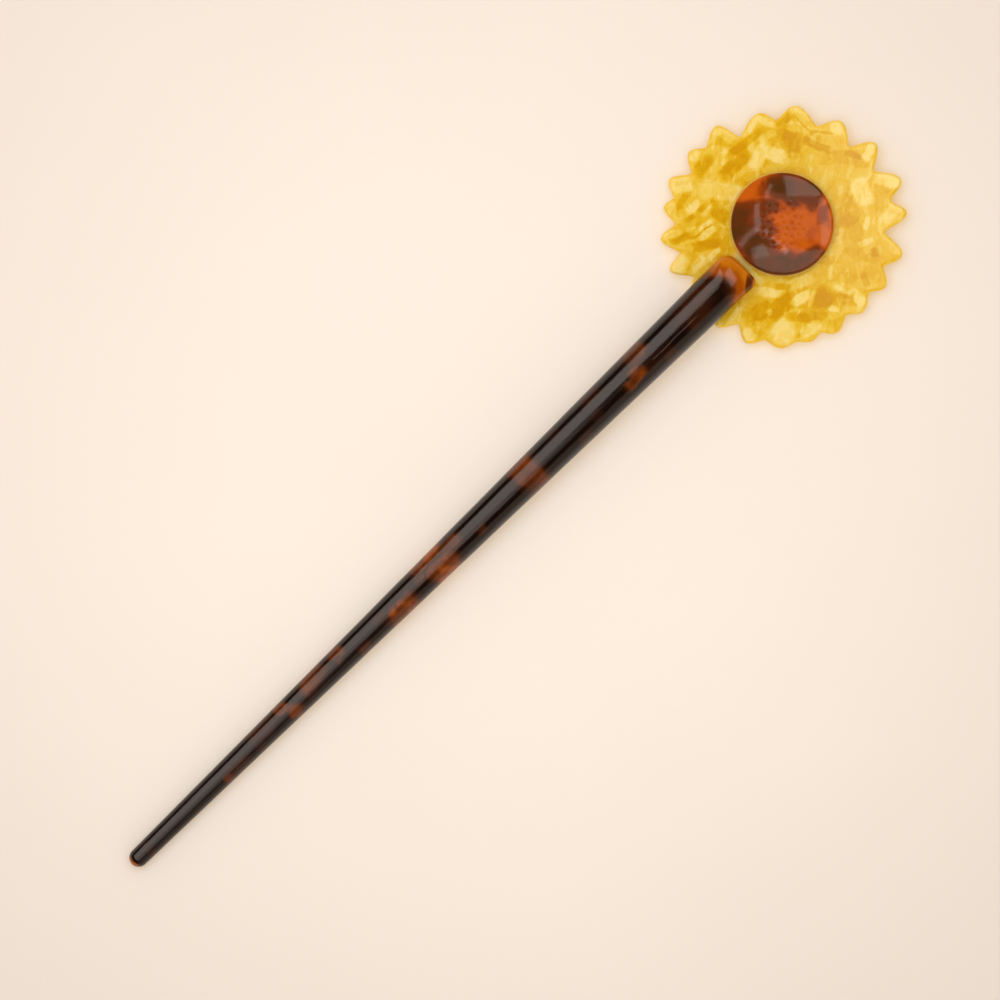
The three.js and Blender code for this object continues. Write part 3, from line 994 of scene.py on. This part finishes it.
# What the stick and the flower mirror overhead: name, two corners and radiance.
STICK_PANELS = [
    ("key", (-0.35, 0.028), (0.042, 0.52), 2.3),
    ("key_end", (0.042, 0.088), (0.12, 0.52), 2.3),
    ("key_skirt", (-0.35, -0.107), (-0.008, 0.028), 1.5),
    ("tip_fill", (-0.35, -0.25), (-0.085, -0.107), 0.7),
    ("head_glint", (0.155, -0.18), (0.34, 0.10), 2.2),
]
PETAL_PANEL = ("petal_key", (-0.3, 0.12), (0.25, 0.52), 1.6)
RIGHT_PANEL_PLACE = PICTURE_RIGHT * 0.21 + PICTURE_UP * 0.19 + Vector((0, 0, 0.55))
RIGHT_PANEL_SIZE = (0.30, 0.35)
RIGHT_PANEL_RADIANCE = 1.7
# Upright cards beside the pin, which every piece mirrors: name, middle and size.
LOW_CARDS = [
    ("low_fill", (-0.35, -0.60, 0.23), (0.80, 0.46)),
    ("low_fill_end", (0.095, -0.60, 0.14), (0.09, 0.28)),
]
LOW_CARD_RADIANCE = 0.6

# What the disc mirrors of the panels over it, as places from its middle and half sizes in
# millimetres on the disc, along the picture's right and up, then a turn in degrees and a radiance.
DISC_SHEEN = [
    (3.2, 6.3, 3.9, 2.3, 0, 1.9),
    (-6.0, -0.2, 0.6, 2.6, 0, 2.2),
    (-3.7, 4.6, 0.3, 1.3, -18, 1.9),
    (-7.9, -3.9, 0.45, 2.4, -43, 1.7),
    (-2.6, -4.6, 0.5, 3.2, 43, 2.3),
    (0.6, -8.4, 6.8, 2.4, -3, 1.3),
    (-5.6, -6.6, 1.3, 1.2, 20, 1.2),
    (7.4, -1.0, 1.9, 4.4, 0, 1.7),
    (0.6, 0.0, 4.6, 4.2, 0, 0.5),
]
DISC_GAIN = 9.6  # how far the mirrored place moves over the panels for each millimetre on the disc
DISC_AIM = Vector((0.0876, 0.0007, 0))  # the place over the disc that its middle mirrors


def build_overhead(opaque, see_through, floor):
    """One lamp overhead, parted in three on the floor.

    The whole pin stops one part, only the opaque pieces stop another, and nothing stops the part
    that comes round from all sides.
    """
    place = (OVERHEAD_PLACE, (PICTURE_RIGHT, PICTURE_UP), OVERHEAD_SIZE)
    through = tuple(n * share for n, share in zip(ON_FLOOR, THROUGH_PETALS))
    around = tuple(n * share for n, share in zip(ON_FLOOR, AROUND_ALL))
    stopped = tuple(n - t - a for n, t, a in zip(ON_FLOOR, through, around))
    softbox("overhead", *place, OVERHEAD_ON_PIN, NEUTRAL, [*opaque, *see_through], lamp=True)

    def on_floor(name, colour):
        return softbox(name, *place, OVERHEAD_ON_FLOOR, colour, [floor], lamp=True)

    on_floor("overhead_stopped", stopped)
    passing = on_floor("overhead_passing", through)
    passing.light_linking.blocker_collection = light_group("opaque", opaque)
    unstopped = on_floor("overhead_around", around)
    unstopped.light_linking.blocker_collection = light_group("floor_only", [floor])


def build_disc_sheen(disc):
    """The panels that the disc mirrors, each a little below the last so that none hides another."""
    for index, (across, up, half_width, half_height, turn, radiance) in enumerate(DISC_SHEEN):
        spin = Matrix.Rotation(math.radians(turn), 3, "Z")
        place = DISC_AIM + (PICTURE_RIGHT * across + PICTURE_UP * up) * DISC_GAIN * MM
        place.z = RIG_HEIGHT - index * MM
        size = (2 * half_width * DISC_GAIN * MM, 2 * half_height * DISC_GAIN * MM)
        axes = (spin @ PICTURE_RIGHT, spin @ PICTURE_UP)
        softbox(f"disc_sheen_{index + 1}", place, axes, size, radiance, WARM, [disc])


def build_reflections(stick, flower, disc):
    for name, low, high, radiance in STICK_PANELS:
        ceiling_panel(name, low, high, radiance, stick)
    ceiling_panel(*PETAL_PANEL, flower)
    right = (RIGHT_PANEL_PLACE, (PICTURE_RIGHT, PICTURE_UP), RIGHT_PANEL_SIZE)
    softbox("right_key", *right, RIGHT_PANEL_RADIANCE, WARM, [flower])
    build_disc_sheen(disc)
    for name, middle, size in LOW_CARDS:
        softbox(name, middle, ((1, 0, 0), (0, 0, 1)), size, LOW_CARD_RADIANCE, CARD_GLOW)


def build_world():
    """An even pale dome, which lights matt surfaces and isn't reflected in glossy ones."""
    world = bpy.data.worlds.new("studio")
    world.use_nodes = True
    background = world.node_tree.nodes["Background"]
    background.inputs["Color"].default_value = (*AMBIENT, 1.0)
    background.inputs["Strength"].default_value = DOME_STRENGTH
    bpy.context.scene.world = world
    world.cycles_visibility.glossy = False


FLOOR_HALF_SIDE = 4.0
FLOOR_TINTS = [(0.0, (202, 194, 187)), (1.0, (229, 223, 215))]


def floor_material():
    tree = Tree("pale_card", Roughness=0.7)
    where = tree.add("ShaderNodeTexCoord").outputs["Object"]
    # Painted shade: the card darkens from 3 cm to 16 cm out from the floor's middle, standing in
    # for the light's falloff towards the corners.
    shade = tree.ease(tree.length(where), 0.03, 0.16, 1.0, 0.5)
    mottle = tree.noise(where, 14.0, detail=4.0)
    shade = tree.math("ADD", shade, tree.ease(mottle, 0.3, 0.7, -0.06, 0.0), clamp=True)
    tree.put(tree.shader.inputs["Base Color"], tree.colours(shade, FLOOR_TINTS))
    tree.bump(tree.noise(where, 2500.0), 0.05, 0.02)
    return tree.material


def build_floor():
    mesh = bpy.data.meshes.new("floor")
    side = FLOOR_HALF_SIDE
    corners = [(-side, -side, 0), (side, -side, 0), (side, side, 0), (-side, side, 0)]
    mesh.from_pydata(corners, [], [(0, 1, 2, 3)])
    mesh.materials.append(floor_material())
    floor = bpy.data.objects.new("floor", mesh)
    bpy.context.scene.collection.objects.link(floor)
    return floor


stick = build_stick()
flower = build_flower_plate()
disc = build_centre_disc()
cements = build_cements()
build_camera()
build_world()
build_reflections(stick, flower, disc)
build_overhead([stick, disc], [flower, *cements], build_floor())

bpy.context.scene.view_settings.view_transform = "Standard"
bpy.context.view_layer.update()
